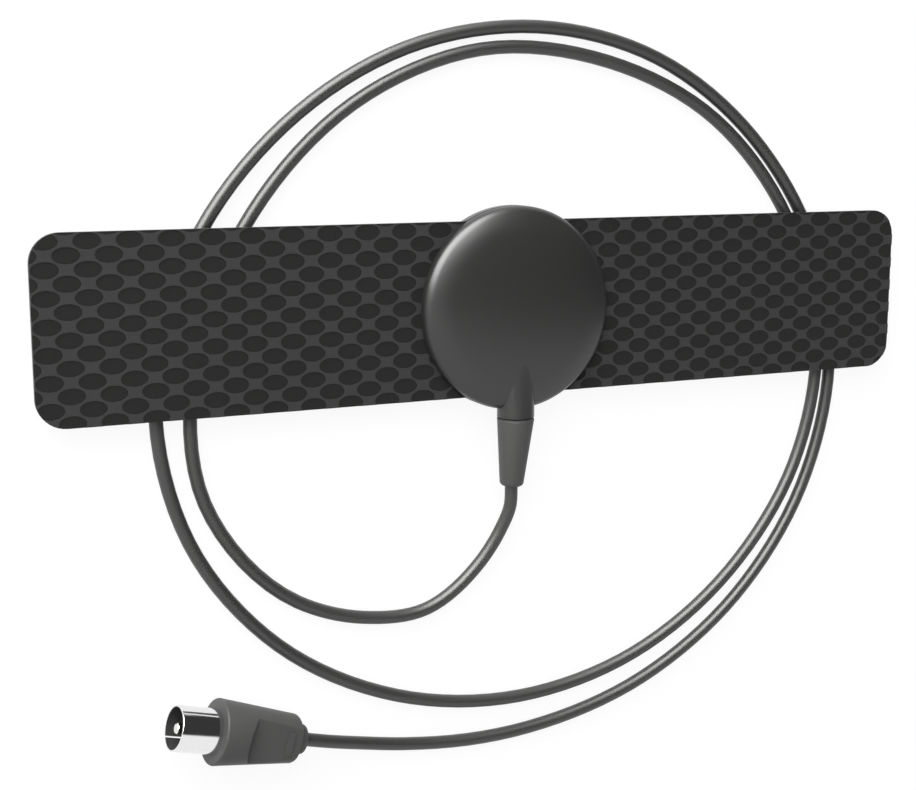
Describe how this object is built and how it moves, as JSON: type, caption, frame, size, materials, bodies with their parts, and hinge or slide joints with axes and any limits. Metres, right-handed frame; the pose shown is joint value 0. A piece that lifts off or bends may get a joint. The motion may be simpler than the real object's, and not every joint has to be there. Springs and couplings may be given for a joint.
{
  "type": "indoor television antenna",
  "caption": "Flat rectangular indoor television antenna with a round domed housing at its middle, an oval-patterned front, and a coiled coaxial lead that ends in an aerial plug.",
  "frame": {"origin": "centre of the flat outer face of the housing's rear cover, on the surface that the antenna lies on", "axes": "+Z is the way the patterned front faces, +X along the panel's length, and the cable outlet points along -Y"},
  "size_m": [0.205, 0.1615, 0.0138],
  "materials": {
    "cover_plastic": "satin",
    "skin_plastic": "matte, with a lattice of darker ovals",
    "rear_skin_plastic": "matte",
    "foil": "smooth",
    "board": "green glass-fibre board",
    "ferrite": "dull grey ceramic",
    "copper_wire": "enamelled copper",
    "rivet_metal": "tinned",
    "capacitor_ceramic": "smooth ceramic",
    "resistor_ceramic": "smooth ceramic",
    "clamp_metal": "tinned",
    "cable_jacket": "smooth flexible plastic",
    "braid_wire": "braided tinned wire",
    "insulation": "smooth",
    "boot_plastic": "satin flexible plastic",
    "plug_plastic": "satin",
    "shell_metal": "bright nickel",
    "insulator_plastic": "matte",
    "pin_metal": "bright nickel",
    "screw_metal": "zinc plated"
  },
  "bodies": {
    "root": {"front_cover": "cover_plastic", "rear_cover": "cover_plastic", "front_skin": "skin_plastic", "rear_skin": "rear_skin_plastic", "left_radiator": "foil", "right_radiator": "foil", "circuit_board": "board", "transformer_core": "ferrite", "left_winding": "copper_wire", "right_winding": "copper_wire", "left_rivet": "rivet_metal", "right_rivet": "rivet_metal", "input_capacitor": "capacitor_ceramic", "output_capacitor": "capacitor_ceramic", "bleed_resistor": "resistor_ceramic", "braid_clamp": "clamp_metal", "cable_stub": "cable_jacket", "cable_braid": "braid_wire", "cable_insulation": "insulation", "cable_wire": "copper_wire", "strain_relief": "boot_plastic", "antenna_cable": "cable_jacket", "plug_cover": "plug_plastic", "plug_shell": "shell_metal", "plug_insulator": "insulator_plastic", "plug_pin": "pin_metal", "screw_upper_left": "screw_metal", "screw_upper_right": "screw_metal", "screw_lower_left": "screw_metal", "screw_lower_right": "screw_metal"}
  },
  "joints": []
}
